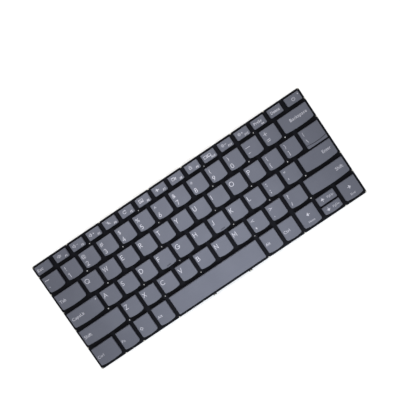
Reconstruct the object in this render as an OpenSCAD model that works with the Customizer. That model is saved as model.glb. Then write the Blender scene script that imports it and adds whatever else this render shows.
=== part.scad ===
// Laptop replacement keyboard: a punched steel plate, a switch membrane under a black film,
// rubber domes, scissor links that lift each keycap level, and wire stabilisers under the long keys.
// The origin is the middle of the plate's underside, with the ear at its front counted in. The function row
// is at +Y and keys press down -Z.

/* [Key grid] */
// Distance between neighbouring key centres, both ways
pitch = 19.05; // [18:0.05:20.5]
// Gap between neighbouring keycaps
key_gap = 3.5; // [3:0.1:4]
// Gap between neighbouring function keys
function_gap = 3.93; // [3.2:0.01:4.6]
// Width of a function key
function_w = 13.4; // [12.8:0.1:14]
// Depth of a function key
function_d = 8; // [7.6:0.1:9]
// Depth of the bottom row of keys
bottom_d = 18; // [16:0.1:19]
// Plate beside the outermost keys
side_margin = 2.3; // [1.5:0.1:5]
// Plate behind the function row
back_margin = 1.95; // [1.2:0.05:5]
// Plate in front of the bottom row
front_margin = 2.55; // [1.5:0.05:6]

/* [Wide keys] */
// Width of the Escape key
escape_w = 15.1; // [13.4:0.1:16]
// Width of the power key
power_w = 15; // [13.4:0.1:16]
// Width of the key before 1
tilde_w = 15.9; // [15.5:0.1:20]
// Width of the Tab key
tab_w = 24.9; // [20:0.1:30]
// Width of the key after the right bracket
backslash_w = 20.4; // [18:0.1:24]
// Depth of the key after the right bracket
backslash_d = 17.8; // [15.6:0.1:18.2]
// Width of the Caps Lock key
caps_w = 31.35; // [30:0.05:36]
// Width of the left Shift key
left_shift_w = 41.1; // [36:0.1:46]
// Width of the slash key
slash_w = 17.85; // [15.6:0.05:20]
// Width of the left Ctrl key
ctrl_w = 22.1; // [16:0.1:26]
// Width of an arrow key
arrow_w = 18; // [17:0.1:19]
// Gap between the arrow keys side by side
arrow_gap = 3.6; // [3.2:0.1:4]
// Gap between the up and down arrow keys
arrow_split = 1.5; // [1.2:0.1:1.8]

/* [Keycaps] */
// Height of the key tops above the plate's underside
key_top = 5; // [4.9:0.05:6]
// Height of a keycap from its skirt to its top
cap_h = 2.2; // [2.1:0.05:2.4]
// Thickness of a keycap's top
cap_top_t = 0.9; // [0.8:0.05:0.95]
// Thickness of a keycap's skirt
cap_wall = 0.9; // [0.7:0.05:1]
// How much narrower a keycap is at its top, on each side
cap_draft = 0.2; // [0.1:0.02:0.4]
// Bevel round a keycap's top edge
cap_bevel = 0.3; // [0.15:0.05:0.4]
// Depth of the hollow across a keycap's top
dish = 0.14; // [0.05:0.01:0.2]
// Flat rim between the hollow and the bevel
dish_rim = 0.4; // [0.2:0.05:0.8]
// Widest keycap with a hollow top, as wider ones are flat
dished_w = 18.4; // [18:0.1:19]
// How far the front edge of a keycap bows out
front_bow = 1; // [0.5:0.1:1.4]
// How much of the bow the hollow under a keycap stands back by
cavity_share = 0.35; // [0.2:0.05:0.4]
// Radius of a keycap's back corners
back_r = 0.7; // [0.4:0.1:1.2]
// Radius of a keycap's front corners
front_r = 2.6; // [1.5:0.1:3]
// Radius of the front corners of function keys and of the space bar
square_r = 1.6; // [1:0.1:2]
// Length of the homing bars on F and J
homing_l = 4.4; // [3:0.1:6]
// Width of the homing bars
homing_w = 0.6; // [0.4:0.05:0.9]
// Height of the homing bars above the hollow of the top
homing_h = 0.26; // [0.22:0.01:0.4]
// Distance from the front edge to a homing bar
homing_in = 1.7; // [1.5:0.1:3]
// Width of the seam across the deeper key after the right bracket
seam_w = 0.5; // [0.3:0.05:0.8]
// Depth of that seam
seam_depth = 0.35; // [0.2:0.05:0.5]

/* [Travel] */
// How far a key presses down
travel = 1.7; // [1.2:0.05:1.75]

/* [Plate and sheets] */
// Thickness of the steel plate
plate_t = 0.5; // [0.4:0.05:0.55]
// Thickness of the switch membrane
membrane_t = 0.3; // [0.2:0.05:0.35]
// Thickness of the black film
film_t = 0.15; // [0.1:0.05:0.2]
// Radius of the plate's corners
plate_r = 1.2; // [0.6:0.1:2]
// How far the membrane stays back from the plate's edge
membrane_inset = 0.8; // [0.5:0.1:1.2]
// How far the black film stays back from the plate's edge
film_inset = 0.25; // [0.15:0.05:0.5]
// How far the black film reaches in under a keycap's skirt
film_lap = 0.2; // [0.1:0.05:0.3]
// Bore of the mounting holes in the plate
mount_d = 1.2; // [1.2:0.1:2]
// The same behind the number row
function_mount_d = 1.2; // [1.2:0.1:2]
// How much wider the film's and the membrane's holes are than the plate's
hole_room = 0.4; // [0.2:0.1:0.8]
// Width of the half-round notches that bare the plate at the film's edge
notch_d = 2; // [1.4:0.1:3]
// Reach of the cut that bares the plate at each of the film's corners
corner_cut = 1.7; // [1.3:0.1:2.5]
// Width of the ear that stands out of the plate's front edge
ear_w = 3.4; // [3:0.1:6]
// How far the ear stands out
ear_out = 1; // [0.6:0.1:2]
// Distance from the left end of the space bar to the ear's middle
ear_in = 35.6; // [20:0.1:60]
// Radius of the ear's corners
ear_r = 0.4; // [0.2:0.1:0.5]
// Distance from the front edge of a row to its mounting holes
hole_drop = 0.9; // [0.7:0.1:1.1]
// The same behind the number row
function_hole_drop = 1.2; // [1:0.1:1.4]
// Length of the slot for the membrane's ribbon
ribbon_slot_l = 24; // [15:1:30]
// Width of the slot for the membrane's ribbon
ribbon_slot_w = 1.4; // [1:0.1:1.6]
// Distance from the space bar's front edge to the ribbon's slot
ribbon_slot_in = 2.5; // [2:0.1:4]

/* [Scissors] */
// Radius of the links' rods
rod_r = 0.3; // [0.2:0.02:0.32]
// Height of the lower rods above the plate's top
rod_lift = 0.45; // [0.42:0.01:0.48]
// Depth of the upper rods below the underside of a keycap's top
rod_drop = 0.5; // [0.46:0.01:0.54]
// Thickness of the links' side bars
bar_t = 0.6; // [0.4:0.05:0.66]
// Width of the side bars under full-size keys
bar_w = 1; // [0.7:0.05:1.1]
// Width of the side bars under small keys
small_bar_w = 0.55; // [0.45:0.05:0.6]
// Room between an outer and an inner link
link_play = 0.12; // [0.08:0.01:0.18]
// Room between a link's side and a full-size keycap's skirt
link_side_room = 0.87; // [0.4:0.01:1.1]
// Room between a link's side and a small keycap's skirt
small_side_room = 0.25; // [0.15:0.01:0.35]
// How much nearer the middle the inner link's rods are
link_step = 1.4; // [1.35:0.01:1.5]
// Room left for a rod to slide as the key goes down
slide_room = 0.4; // [0.38:0.01:0.5]
// Radius of the pivot where two links cross
pivot_r = 0.3; // [0.22:0.01:0.34]
// Clearance round rods and pivots
fit = 0.1; // [0.06:0.01:0.12]
// Wall round a rod at the ends of a side bar
rod_wall = 0.1; // [0.06:0.01:0.14]
// Wall round the pivot's eye
eye_wall = 0.3; // [0.2:0.01:0.34]
// Room between the links and the edges of the openings in the membrane
window_room = 0.3; // [0.2:0.05:0.4]

/* [Hooks and clips] */
// Thickness of the hooks bent up from the plate
hook_t = 0.3; // [0.25:0.01:0.34]
// Width of the hooks under full-size keys
hook_w = 1; // [0.8:0.05:1.2]
// Width of the hooks under small keys
small_hook_w = 0.8; // [0.6:0.05:0.85]
// Room between the hooks and the keycap's skirt
hook_room = 0.45; // [0.35:0.01:0.55]
// Wall round a rod in the keycap's clips
clip_wall = 0.25; // [0.2:0.01:0.28]
// Opening that a rod snaps through
snap_gap = 0.42; // [0.3:0.02:0.5]
// Room between a hook and the outer link's side bar
hook_side_room = 0.35; // [0.25:0.01:0.4]
// Room between a hook and the inner link's side bar
inner_side_room = 0.6; // [0.4:0.05:0.8]
// The same under small keys
small_inner_room = 0.4; // [0.3:0.05:0.5]

/* [Domes] */
// Radius of a dome's foot under full-size keys
dome_r = 3; // [2.4:0.1:3.2]
// Radius of a dome's foot under small keys
small_dome_r = 1.5; // [1.2:0.05:1.6]
// Thickness of a dome's rubber
dome_wall = 0.35; // [0.25:0.01:0.4]
// Width of the foot round a dome, as a share of its radius
dome_foot = 0.14; // [0.1:0.01:0.2]
// How much a dome narrows up to its head, as a share of its radius
dome_taper = 0.24; // [0.15:0.01:0.3]
// Height of a dome's solid head
dome_head = 0.7; // [0.5:0.05:0.9]
// Room between a dome's head and the keycap
dome_room = 0.1; // [0.05:0.01:0.15]

/* [Stabilisers] */
// Radius of the stabiliser wires
wire_r = 0.3; // [0.25:0.01:0.31]
// Length of a stabiliser's arms
arm_l = 9; // [8:0.1:9.6]
// Radius of the wire's bends
bend_r = 1; // [0.6:0.1:1.4]
// Distance from the ends of a key to its stabiliser's arms
wire_end_in = 4; // [3.6:0.1:5]
// Room between the wire's bar and the keycap's back skirt
wire_back_room = 0.36; // [0.3:0.01:0.4]
// Length of the pins at the wire's ends
wire_pin_l = 0.7; // [0.5:0.05:0.9]
// Width of the keycap's clips for those pins
wire_clip_w = 0.8; // [0.6:0.05:0.9]
// Distance from a stabiliser's arms to its outer hooks
wire_hook_in = 2.4; // [2.2:0.1:3.5]
// Distance from the middle of the space bar to its inner hooks
space_hook_x = 12; // [8:0.5:16]

/* [Hidden] */
$fn = 48;
eps = 0.01;
key_w = pitch - key_gap;
plate_w = 2 * side_margin + tab_w + key_gap + 12 * pitch + backslash_w;
plate_d = back_margin + function_d + key_gap + 4 * pitch + bottom_d + front_margin;
back_y = (plate_d + ear_out) / 2;
skirt_z = key_top - cap_h;
ceiling_z = key_top - cap_top_t;
low_z = plate_t + rod_lift;
high_z = ceiling_z - rod_drop;
rise = high_z - low_z;
bar_end_r = rod_r + rod_wall;
rod_room = 0.1;

// A key is [name, left edge, back edge, width, depth, shape], measured from the plate's back left corner.
function row_y(n) = n == 0 ? back_margin : back_margin + function_d + key_gap + (n - 1) * pitch;
right_x = plate_w - side_margin;
function_step = function_w + function_gap;
FUNCTION_NAMES = ["f1", "f2", "f3", "f4", "f5", "f6", "f7", "f8", "f9", "f10", "f11", "f12",
    "print_screen", "delete"];
function_x = (side_margin + escape_w + right_x - power_w
    - len(FUNCTION_NAMES) * function_step + function_gap) / 2;
FUNCTION_KEYS = concat(
    [["escape", side_margin, row_y(0), escape_w, function_d, "small"]],
    [for (i = [0 : len(FUNCTION_NAMES) - 1])
        [FUNCTION_NAMES[i], function_x + i * function_step, row_y(0), function_w, function_d, "small"]],
    [["power", right_x - power_w, row_y(0), power_w, function_d, "small"]]);

// Character keys of one row at the grid's pitch, from the left edge of the first
function run(names, x, row) = [for (i = [0 : len(names) - 1])
    [names[i], x + i * pitch, row_y(row), key_w, key_w, "full"]];
number_x = side_margin + tilde_w + key_gap;
q_x = side_margin + tab_w + key_gap;
a_x = side_margin + caps_w + key_gap;
z_x = side_margin + left_shift_w + key_gap;
NUMBER_NAMES = ["1", "2", "3", "4", "5", "6", "7", "8", "9", "0", "minus", "equals"];
Q_NAMES = ["q", "w", "e", "r", "t", "y", "u", "i", "o", "p", "left_bracket", "right_bracket"];
A_NAMES = ["a", "s", "d", "f", "g", "h", "j", "k", "l", "semicolon", "quote"];
Z_NAMES = ["z", "x", "c", "v", "b", "n", "m", "comma", "period"];
backspace_x = number_x + len(NUMBER_NAMES) * pitch;
backslash_x = q_x + len(Q_NAMES) * pitch;
enter_x = a_x + len(A_NAMES) * pitch;
slash_x = z_x + len(Z_NAMES) * pitch;
right_shift_x = slash_x + slash_w + key_gap;

// Bottom row: three plain keys after Ctrl, two before the arrows, and the space bar fills the rest
arrow_step = arrow_w + arrow_gap;
left_arrow_x = right_x - arrow_w - 2 * arrow_step;
fn_x = side_margin + ctrl_w + key_gap;
right_ctrl_x = left_arrow_x - key_gap - key_w;
right_alt_x = right_ctrl_x - pitch;
space_x = fn_x + 3 * pitch;
ear_x = space_x + ear_in;
arrow_d = (bottom_d - arrow_split) / 2;

// Keys that move on their own
MOVING_KEYS = concat(
    [["tilde", side_margin, row_y(1), tilde_w, key_w, "full"]],
    run(NUMBER_NAMES, number_x, 1),
    run(Q_NAMES, q_x, 2),
    [["backslash", backslash_x, row_y(2), backslash_w, backslash_d, "square"]],
    run(A_NAMES, a_x, 3),
    [["enter", enter_x, row_y(3), right_x - enter_x, key_w, "long"]],
    run(Z_NAMES, z_x, 4),
    [["slash", slash_x, row_y(4), slash_w, key_w, "full"]],
    [["space", space_x, row_y(5), right_alt_x - key_gap - space_x, bottom_d, "space"]]);

// Keys whose caps share a node with others of their kind
MODIFIER_KEYS = [
    ["backspace", backspace_x, row_y(1), right_x - backspace_x, key_w, "long"],
    ["tab", side_margin, row_y(2), tab_w, key_w, "full"],
    ["caps_lock", side_margin, row_y(3), caps_w, key_w, "long"],
    ["left_shift", side_margin, row_y(4), left_shift_w, key_w, "long"],
    ["right_shift", right_shift_x, row_y(4), right_x - right_shift_x, key_w, "long"],
    ["left_ctrl", side_margin, row_y(5), ctrl_w, bottom_d, "full"],
    ["fn", fn_x, row_y(5), key_w, bottom_d, "full"],
    ["system", fn_x + pitch, row_y(5), key_w, bottom_d, "full"],
    ["left_alt", fn_x + 2 * pitch, row_y(5), key_w, bottom_d, "full"],
    ["right_alt", right_alt_x, row_y(5), key_w, bottom_d, "full"],
    ["right_ctrl", right_ctrl_x, row_y(5), key_w, bottom_d, "full"],
    ["left", left_arrow_x, row_y(5), arrow_w, bottom_d, "full"],
    ["up", left_arrow_x + arrow_step, row_y(5), arrow_w, arrow_d, "small"],
    ["down", left_arrow_x + arrow_step, row_y(5) + arrow_d + arrow_split, arrow_w, arrow_d, "small_bow"],
    ["right", left_arrow_x + 2 * arrow_step, row_y(5), arrow_w, bottom_d, "full"]];
ALL_KEYS = concat(FUNCTION_KEYS, MOVING_KEYS, MODIFIER_KEYS);

function is_small(key) = key[5] == "small" || key[5] == "small_bow";
function is_long(key) = key[5] == "long" || key[5] == "space";
function middle_x(key) = key[1] + key[3] / 2 - plate_w / 2;
function middle_y(key) = back_y - key[2] - key[4] / 2;

// A lift is the scissor size under a key: [half the rods' distance on the outer link, the same on the
// inner link, half the outer link's width, half the inner link's width, bar width, hook width, dome radius,
// room beside the inner hooks].
function lift(along, across, bar, side, hook, dome, inner_room) =
    let (reach = along / 2 - cap_wall - hook_room - hook_t - rod_room - rod_r - slide_room)
    let (half_w = across / 2 - cap_wall - side)
    [reach, reach - link_step, half_w, half_w - bar - link_play, bar, hook, dome, inner_room];
FULL_LIFT = lift(key_w, key_w, bar_w, link_side_room, hook_w, dome_r, inner_side_room);
SMALL_LIFT = lift(function_w, function_d, small_bar_w, small_side_room, small_hook_w, small_dome_r,
    small_inner_room);
function lift_of(key) = is_small(key) ? SMALL_LIFT : FULL_LIFT;
function outer_hook_x(l) = l[2] - l[4] - l[5] / 2 - hook_side_room;
function inner_hook_x(l) = l[3] - l[4] - l[5] / 2 - l[7];

// Where the scissors stand under a key: two under the space bar, one under any other
function lift_places(key) = key[5] == "space" ? [-key[3] / 4, key[3] / 4] : [0];

// Stabiliser wires: half the distance between the arms, and the bar's place behind the key's middle
function wire_half(key) = key[3] / 2 - wire_end_in;
function wire_y(key) = key[4] / 2 - cap_wall - wire_back_room - wire_r;
arm_tilt = asin(rise / arm_l);
pressed_tilt = asin((rise - travel) / arm_l);
wire_slide = arm_l * (cos(pressed_tilt) - cos(arm_tilt));
function wire_hook_places(key) = key[5] == "space"
    ? [-wire_half(key) + wire_hook_in, -space_hook_x, space_hook_x, wire_half(key) - wire_hook_in]
    : [-wire_half(key) + wire_hook_in, wire_half(key) - wire_hook_in];

// Puts a key's children at its middle, and turns small scissors to lie along the key
module at_key(key) {
    translate([middle_x(key), middle_y(key), 0]) children();
}
module at_lifts(key) {
    for (x = lift_places(key)) {
        translate([middle_x(key) + x, middle_y(key), 0])
            rotate([0, 0, is_small(key) ? 90 : 0]) children();
    }
}

// Mounting holes between the keys, as [distance from the left edge, distance from the back edge]
function gap_x(x, after) = x + after * pitch - key_gap / 2;
function hole_y(n) = row_y(n) + (n == 0 ? function_d : key_w) + hole_drop;
function_hole_y = row_y(0) + function_d + function_hole_drop;
FUNCTION_HOLES = [for (i = [2, 5, 9, 12]) [function_x + i * function_step - function_gap / 2, function_hole_y]];
MOUNT_HOLES = concat(
    [for (i = [1, 3, 5, 8, 10, 12]) [gap_x(number_x, i), hole_y(1)]],
    [for (i = [1, 4, 7, 9, 11]) [gap_x(q_x, i), hole_y(2)]],
    [for (i = [0, 2, 4, 7, 9, 11]) [gap_x(a_x, i), hole_y(3)]],
    [for (i = [0, 2, 4, 7]) [gap_x(z_x, i), hole_y(4)]],
    [[right_shift_x - key_gap / 2, hole_y(4)]]);

// Half-round notches along the film's edges
SIDE_NOTCH_Y = [for (n = [0 : 4]) hole_y(n)];
EDGE_NOTCHES = concat(
    [for (i = [1, 3, 6, 8, 11, 13]) [function_x + i * function_step - function_gap / 2, 0]],
    [for (y = SIDE_NOTCH_Y) [0, y]],
    [for (n = [0, 1, 3, 4]) [plate_w, hole_y(n)]],
    [for (x = [fn_x, fn_x + pitch, space_x, right_alt_x, left_arrow_x]) [x - key_gap / 2, plate_d]],
    [[right_x - arrow_w - arrow_gap / 2, plate_d], [ear_x, plate_d + ear_out]]);

module sheet_outline(inset) {
    w = plate_w / 2 - inset - plate_r;
    d = plate_d / 2 - inset - plate_r;
    translate([0, ear_out / 2]) {
        for (x = [-w, w]) {
            for (y = [-d, d]) {
                translate([x, y]) circle(plate_r);
            }
        }
        square([2 * w, 2 * (d + plate_r)], center = true);
        square([2 * (w + plate_r), 2 * d], center = true);
    }
}

// The ear in a sheet's front edge
module ear(inset) {
    half = ear_w / 2 - inset;
    translate([ear_x - plate_w / 2, inset - back_y]) {
        for (x = [ear_r - half, half - ear_r]) {
            translate([x, ear_r]) circle(ear_r);
        }
        translate([-half, ear_r]) square([2 * half, ear_out]);
        translate([ear_r - half, 0]) square([2 * (half - ear_r), 2 * ear_r]);
    }
}

// The mounting holes of a sheet, wider than the plate's by room, and the ribbon's slot
module sheet_holes(room) {
    for (h = MOUNT_HOLES) {
        translate([h[0] - plate_w / 2, back_y - h[1]]) circle(d = mount_d + room);
    }
    for (h = FUNCTION_HOLES) {
        translate([h[0] - plate_w / 2, back_y - h[1]]) circle(d = function_mount_d + room);
    }
    at_key(space_key) translate([0, ribbon_slot_in - bottom_d / 2])
        square([ribbon_slot_l, ribbon_slot_w], center = true);
}

// The notches that bare the plate at a sheet's edges and corners, wider than the film's by room
module edge_notches(room) {
    for (h = EDGE_NOTCHES) {
        translate([h[0] - plate_w / 2, back_y - h[1]]) circle(d = notch_d + room);
    }
    for (x = [-plate_w / 2, plate_w / 2]) {
        for (y = [back_y - plate_d, back_y]) {
            translate([x, y]) circle(corner_cut + room / 2);
        }
    }
}
space_key = MOVING_KEYS[len(MOVING_KEYS) - 1];

// One hook: a web that stands on the plate and a lip over the rod, seen along the rod.
// The rod lies at 0 and may slide away from the lip's open side by slide.
module hook(slide, width) {
    web = rod_r + rod_room + slide;
    slot_top = low_z + rod_r + fit;
    rotate([90, 0, 90]) linear_extrude(width, center = true) polygon([
        [-web, plate_t / 2],
        [-web, slot_top],
        [rod_r, slot_top],
        [rod_r, slot_top + hook_t],
        [-web - hook_t, slot_top + hook_t],
        [-web - hook_t, plate_t / 2]]);
}

// The four hooks of one scissor: the outer link slides at the front, the inner link turns at the back
module scissor_hooks(l) {
    for (side = [-1, 1]) {
        translate([side * outer_hook_x(l), -l[0], 0]) hook(slide_room, l[5]);
        translate([side * inner_hook_x(l), l[1], 0]) mirror([0, 1, 0]) hook(0, l[5]);
    }
}

// The openings that the hooks leave where they were punched from the plate
module hook_windows(l) {
    reach = rod_r + rod_room;
    for (side = [-1, 1]) {
        translate([side * outer_hook_x(l) - l[5] / 2, -l[0] - reach - slide_room])
            square([l[5], 2 * reach + slide_room]);
        translate([side * inner_hook_x(l) - l[5] / 2, l[1] - reach]) square([l[5], 2 * reach]);
    }
}

module base_plate() {
    color("silver") union() {
        linear_extrude(plate_t) difference() {
            union() {
                sheet_outline(0);
                ear(0);
            }
            sheet_holes(0);
            for (key = ALL_KEYS) {
                at_lifts(key) hook_windows(lift_of(key));
            }
        }
        for (key = ALL_KEYS) {
            at_lifts(key) scissor_hooks(lift_of(key));
            if (is_long(key)) {
                for (x = wire_hook_places(key)) {
                    at_key(key) translate([x, wire_y(key), 0]) hook(0, hook_w);
                }
            }
        }
    }
}

// The openings round the lower rods and hooks in the membrane
module rod_windows(l) {
    far = l[0] + slide_room + rod_r + rod_room + hook_t + fit;
    near = bar_end_r + 2 * window_room;
    translate([-l[2] - window_room, -far]) square([2 * (l[2] + window_room), far - l[0] + near]);
    translate([-l[3] - window_room, l[1] - near])
        square([2 * (l[3] + window_room), near + rod_r + rod_room + hook_t + fit]);
}
module wire_windows(key) {
    half = wire_half(key) + wire_r + window_room;
    translate([-half, wire_y(key) - rod_r - rod_room - hook_t - fit])
        square([2 * half, 2 * rod_r + rod_room + hook_t + 2 * fit]);
    for (side = [-1, 1]) {
        translate([side * wire_half(key) - wire_r - window_room, wire_y(key) - arm_l / 2])
            square([2 * (wire_r + window_room), arm_l / 2]);
    }
}

module switch_membrane() {
    color("dimgray") translate([0, 0, plate_t]) linear_extrude(membrane_t) difference() {
        sheet_outline(membrane_inset);
        sheet_holes(hole_room);
        edge_notches(hole_room);
        for (key = ALL_KEYS) {
            at_lifts(key) rod_windows(lift_of(key));
            if (is_long(key)) {
                at_key(key) wire_windows(key);
            }
        }
    }
}

module cover_film() {
    inset = cap_wall + film_lap;
    color([0.09, 0.09, 0.11]) translate([0, 0, plate_t + membrane_t]) linear_extrude(film_t) difference() {
        union() {
            sheet_outline(film_inset);
            ear(film_inset);
        }
        sheet_holes(hole_room);
        edge_notches(0);
        for (key = ALL_KEYS) {
            at_key(key) square([key[3] - 2 * inset, key[4] - 2 * inset], center = true);
        }
    }
}

// A hollow rubber dome: a flat foot, a thin cone and a solid head that meets the keycap
module dome(r) {
    foot_z = plate_t + membrane_t;
    head_z = ceiling_z - dome_room;
    collar_r = r * (1 - dome_foot);
    head_r = collar_r - r * dome_taper;
    rotate_extrude() polygon([
        [0, head_z - dome_head],
        [head_r - dome_wall, head_z - dome_head],
        [collar_r - dome_wall, foot_z + dome_wall],
        [collar_r - dome_wall, foot_z],
        [r, foot_z],
        [r, foot_z + dome_wall],
        [collar_r, foot_z + dome_wall],
        [head_r, head_z - dome_head + dome_wall / 2],
        [head_r, head_z],
        [0, head_z]]);
}

module rubber_domes() {
    color("gray") {
        for (key = ALL_KEYS) {
            at_lifts(key) dome(lift_of(key)[6]);
        }
    }
}

// A link's side bar, seen from its side: round ends on the rods, a round eye in the middle
module bar_profile(length, eye) {
    difference() {
        union() {
            square([length, bar_t], center = true);
            circle(pivot_r + fit + eye_wall);
            for (x = [-length / 2, length / 2]) {
                translate([x, 0]) circle(bar_end_r);
            }
        }
        if (eye) {
            circle(pivot_r + fit);
        }
    }
}

// A link lying flat: two side bars joined by a rod at each end
module flat_link(half_w, width, length, eye) {
    for (side = [-1, 1]) {
        translate([side * (half_w - width / 2), 0, 0]) rotate([90, 0, 90])
            linear_extrude(width, center = true) bar_profile(length, eye);
    }
    for (y = [-length / 2, length / 2]) {
        translate([0, y, 0]) rotate([0, 90, 0]) cylinder(r = rod_r, h = 2 * half_w - width, center = true);
    }
}

// The outer link climbs from the front hooks to the back clips
module outer_link(l) {
    length = sqrt(4 * l[0] * l[0] + rise * rise);
    translate([0, 0, (low_z + high_z) / 2]) rotate([atan2(rise, 2 * l[0]), 0, 0])
        flat_link(l[2], l[4], length, true);
}

// The inner link climbs the other way, and its two stubs turn in the outer link's eyes
module inner_link(l) {
    length = sqrt(4 * l[1] * l[1] + rise * rise);
    translate([0, 0, (low_z + high_z) / 2]) {
        rotate([-atan2(rise, 2 * l[1]), 0, 0]) flat_link(l[3], l[4], length, false);
        for (side = [-1, 1]) {
            translate([side * (l[3] + l[4] / 4), 0, 0]) rotate([0, 90, 0])
                cylinder(r = pivot_r, h = l[4] + 2 * link_play, center = true);
        }
    }
}

module outer_links() {
    color("whitesmoke") {
        for (key = ALL_KEYS) {
            at_lifts(key) outer_link(lift_of(key));
        }
    }
}

module inner_links() {
    color("gainsboro") {
        for (key = ALL_KEYS) {
            at_lifts(key) inner_link(lift_of(key));
        }
    }
}

// A stabiliser wire: a bar in the plate's hooks, two arms that climb forward, and end pins in the keycap
module stabiliser(key) {
    half = wire_half(key);
    color("lightsteelblue") at_key(key) translate([0, wire_y(key), low_z]) rotate([-arm_tilt, 0, 0]) {
        rotate([0, 90, 0]) cylinder(r = wire_r, h = 2 * (half - bend_r), center = true);
        for (side = [0, 1]) {
            mirror([side, 0, 0]) {
                translate([half - bend_r, -bend_r, 0]) rotate_extrude(angle = 90)
                    translate([bend_r, 0]) circle(wire_r);
                translate([half, -bend_r, 0]) rotate([90, 0, 0])
                    cylinder(r = wire_r, h = arm_l - 2 * bend_r);
                translate([half + bend_r, -arm_l + bend_r, 0]) rotate([0, 0, 180])
                    rotate_extrude(angle = 90) translate([bend_r, 0]) circle(wire_r);
                translate([half + bend_r, -arm_l, 0]) rotate([0, 90, 0]) cylinder(r = wire_r, h = wire_pin_l);
            }
        }
    }
}

module stabiliser_wires() {
    for (key = MODIFIER_KEYS) {
        if (is_long(key)) {
            stabiliser(key);
        }
    }
}

// A clip seen along the rod: a wall round a slot as long as the slide, with a snap opening below
module clip(slide, width) {
    r = rod_r + fit;
    rotate([90, 0, 90]) linear_extrude(width, center = true) difference() {
        translate([-r - clip_wall - slide, high_z - r - clip_wall])
            square([2 * (r + clip_wall) + slide, ceiling_z - high_z + r + clip_wall + eps]);
        translate([0, high_z]) circle(r);
        if (slide > 0) {
            translate([-slide, high_z]) circle(r);
            translate([-slide, high_z - r]) square([slide, 2 * r]);
        }
        translate([-snap_gap / 2, high_z - r - clip_wall - eps]) square([snap_gap, r + clip_wall]);
    }
}

// The clips of one scissor: the outer link turns at the back, the inner link slides at the front
module scissor_clips(l) {
    for (side = [-1, 1]) {
        translate([side * outer_hook_x(l), l[0], 0]) clip(0, l[5]);
        translate([side * inner_hook_x(l), -l[1], 0]) clip(slide_room + fit, l[5]);
    }
}

module wire_clips(key) {
    for (side = [-1, 1]) {
        translate([side * (wire_half(key) + bend_r + wire_pin_l / 2), wire_y(key) - arm_l * cos(arm_tilt), 0])
            clip(wire_slide + fit, wire_clip_w);
    }
}

// Keycap outlines seen from above: round back corners, and front corners that stand back from a bowed edge
module cap_outline(w, d, r, bow) {
    x = w / 2;
    y = d / 2;
    corner_x = x - r;
    corner_y = -y + bow * corner_x * corner_x / (x * x) + r;
    for (side = [-1, 1]) {
        translate([side * (x - back_r), y - back_r]) circle(back_r);
        translate([side * corner_x, corner_y]) circle(r);
    }
    translate([-x + back_r, 0]) square([2 * (x - back_r), y]);
    translate([-x, corner_y]) square([2 * x, y - back_r - corner_y]);
    translate([-corner_x, -y]) square([2 * corner_x, y + corner_y]);
}

// Radius of a front edge that is w wide and bows out by bow
function bow_radius(w, bow) = (w * w / 4 + bow * bow) / (2 * bow);

// The drafted and bevelled section of a cap that is w wide at its skirt
module cap_section(w) {
    half = w / 2;
    polygon([
        [-half, skirt_z],
        [half, skirt_z],
        [half - cap_draft, key_top - cap_bevel],
        [half - cap_draft - cap_bevel, key_top],
        [-half + cap_draft + cap_bevel, key_top],
        [-half + cap_draft, key_top - cap_bevel]]);
}

// A cap's outer form: its outline, its drafted sides and, at the front, a drafted rim of bow_r
module cap_form(w, d, r, bow) {
    bow_r = bow > 0 ? bow_radius(w, bow) : 0;
    intersection() {
        translate([0, 0, skirt_z]) linear_extrude(cap_h) cap_outline(w, d, r, bow);
        rotate([90, 0, 0]) linear_extrude(d + 2, center = true) cap_section(w);
        if (bow > 0) {
            translate([0, d / 2 - bow_r * 2, 0]) rotate([90, 0, 90])
                linear_extrude(w + 2, center = true) translate([bow_r, 0]) cap_section(2 * bow_r);
        } else {
            rotate([90, 0, 90]) linear_extrude(w + 2, center = true) cap_section(d);
        }
        if (bow > 0) {
            translate([0, bow_r - d / 2, 0]) rotate_extrude($fn = 240) polygon([
                [0, skirt_z],
                [bow_r, skirt_z],
                [bow_r - cap_draft, key_top - cap_bevel],
                [bow_r - cap_draft - cap_bevel, key_top],
                [0, key_top]]);
        }
    }
}

// A whole keycap: hollow below, dished above, with clips for its scissors and its wire
module keycap(key) {
    w = key[3];
    d = key[4];
    straight = key[5] == "small" || key[5] == "space" || key[5] == "square";
    r = straight ? square_r : key[5] == "small_bow" ? square_r : front_r;
    bow = straight ? 0 : front_bow;
    color([0.46, 0.48, 0.53]) {
        at_key(key) difference() {
            cap_form(w, d, r, bow);
            cavity(w, d, bow);
            if (w <= dished_w) {
                hollow_top(w - 2 * (cap_draft + cap_bevel + dish_rim), d);
            }
            if (key[0] == "backslash") {
                seam(w, d);
            }
        }
        at_lifts(key) scissor_clips(lift_of(key));
        if (is_long(key)) {
            at_key(key) wire_clips(key);
        }
        if (key[0] == "f" || key[0] == "j") {
            at_key(key) translate([0, homing_in - d / 2, 0]) homing_bar();
        }
    }
}

// The hollow under a cap, which keeps one wall all round
module cavity(w, d, bow) {
    back = d / 2 - cap_wall;
    front = -d / 2 + cap_wall + bow * cavity_share;
    translate([-w / 2 + cap_wall, front, skirt_z - 1])
        cube([w - 2 * cap_wall, back - front, ceiling_z - skirt_z + 1]);
}

// What is cut from a cap's top to dish it: a very wide cylinder that touches down dish_w across
module hollow_top(dish_w, d) {
    dish_r = dish_w * dish_w / (8 * dish) + dish / 2;
    translate([0, 0, key_top + dish_r - dish]) rotate([90, 0, 0])
        cylinder(r = dish_r, h = d + 4, center = true, $fn = 720);
}

// A curved seam where the front edge of a key of common depth would be
module seam(w, d) {
    bow_r = bow_radius(w, front_bow);
    translate([0, d / 2 - key_w + bow_r, key_top - seam_depth]) rotate_extrude($fn = 240)
        translate([bow_r - seam_w, 0]) square([seam_w, seam_depth + 1]);
}

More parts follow.
